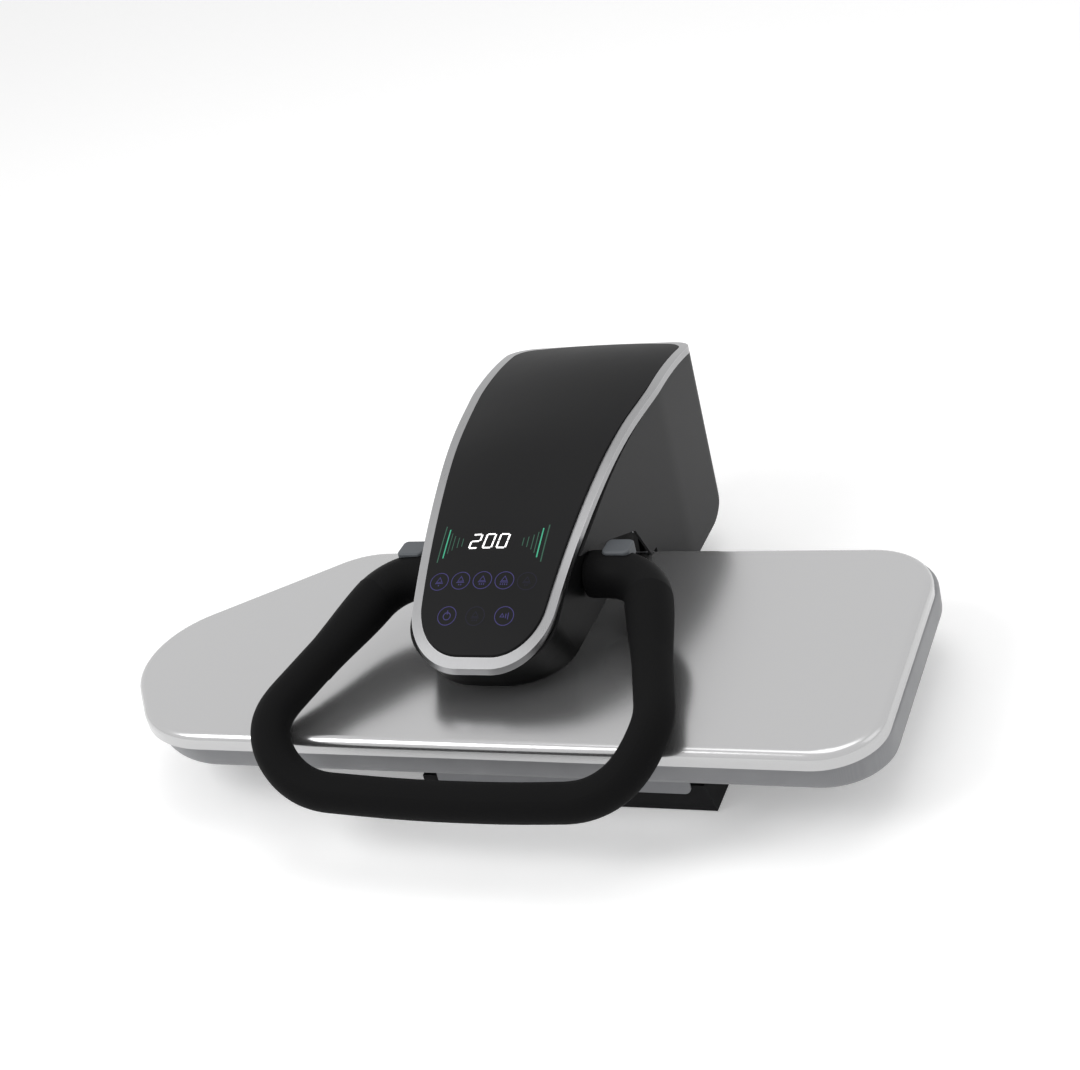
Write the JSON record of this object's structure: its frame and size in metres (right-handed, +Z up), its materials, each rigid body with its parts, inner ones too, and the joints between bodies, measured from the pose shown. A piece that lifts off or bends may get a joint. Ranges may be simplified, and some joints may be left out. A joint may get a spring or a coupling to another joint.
{
  "type": "steam ironing press",
  "caption": "Tabletop steam ironing press with a padded board, a hinged heated shoe under a tall control head and a loop handle that locks it.",
  "frame": {"origin": "on the table under the middle of the closed press", "axes": "+X to the right of the person who works the press, along the board; +Y to the hinge at the rear; +Z up"},
  "size_m": [0.6856, 0.5258, 0.2228],
  "materials": {
    "graphite_enamel": "satin powder coat",
    "grey_enamel": "satin enamel",
    "silver_enamel": "satin silver enamel",
    "zinc_sheet": "zinc plated",
    "bare_steel": "ground steel",
    "brass": "plain turned",
    "cast_aluminium": "machined casting",
    "brushed_trim": "brushed silver",
    "gloss_panel": "black gloss",
    "graphite_plastic": "fine texture",
    "black_plastic": "moulded",
    "joint_plastic": "moulded, fine texture",
    "cap_plastic": "satin grey",
    "white_plastic": "moulded",
    "tank_plastic": "fine texture",
    "circuit_board": "solder mask",
    "clear_hose": "translucent silicone",
    "rubber": "moulded rubber",
    "foam_rubber": "closed-cell foam",
    "foam": "open foam",
    "mat_fibre": "glass-fibre mat",
    "grey_cloth": "plain weave, heat-proof"
  },
  "bodies": {
    "base": {"base_pan": "graphite_enamel", "base_bottom_plate": "zinc_sheet", "rubber_feet": "rubber", "board_bracket": "grey_enamel", "board_spacers": "zinc_sheet", "board_screws": "zinc_sheet", "board_pan": "grey_enamel", "foam_pad": "foam", "board_cover": "grey_cloth", "power_board": "circuit_board", "power_board_spacers": "white_plastic", "power_relays": "black_plastic", "cord_gland": "black_plastic", "lid_switch": "black_plastic", "hinge_pedestal": "zinc_sheet", "hinge_axle": "bare_steel", "axle_clips": "bare_steel", "torsion_springs": "bare_steel"},
    "arm": {"hinge_bushes": "brass", "shoe_cover": "silver_enamel", "heat_plate": "cast_aluminium", "insulating_mat": "mat_fibre", "shoe_posts": "bare_steel", "thermostat": "white_plastic", "thermal_fuse": "white_plastic", "heating_element": "bare_steel", "arm_frame": "zinc_sheet", "spring_bar": "bare_steel", "bezel": "brushed_trim", "control_panel": "gloss_panel", "side_cover_left": "graphite_plastic", "side_cover_right": "graphite_plastic", "rear_cover": "graphite_plastic", "chin_housing": "graphite_plastic", "handle_bushes": "joint_plastic", "cam_plungers": "bare_steel", "steam_chamber": "cast_aluminium", "steam_pipe": "bare_steel", "water_pump": "black_plastic", "feed_hose": "clear_hose", "steam_hose": "clear_hose", "tank_dock": "black_plastic", "tank_tray": "zinc_sheet", "display_board": "circuit_board", "display_module": "black_plastic", "display_spacers": "white_plastic", "speaker": "black_plastic"},
    "handle": {"handle_tube": "bare_steel", "foam_grip": "foam_rubber", "handle_shaft": "bare_steel", "handle_joints": "joint_plastic", "lock_cams": "black_plastic", "cam_pins": "bare_steel", "elbow_caps": "cap_plastic"},
    "tank": {"water_tank": "tank_plastic", "tank_seal": "rubber", "tank_cap": "black_plastic"}
  },
  "joints": [
    {"name": "arm_hinge", "type": "hinge", "parent": "base", "child": "arm", "pos_m": [0.0058, 0.197, 0.085], "axis": [-1, 0, 0], "range_deg": [0, 55]},
    {"name": "handle_pivot", "type": "hinge", "parent": "arm", "child": "handle", "pos_m": [0.0058, -0.0276, 0.136], "axis": [-1, 0, 0], "range_deg": [0, 35]},
    {"name": "tank_slide", "type": "slide", "parent": "arm", "child": "tank", "axis": [0, 1, 0], "range_m": [0, 0.12]}
  ]
}
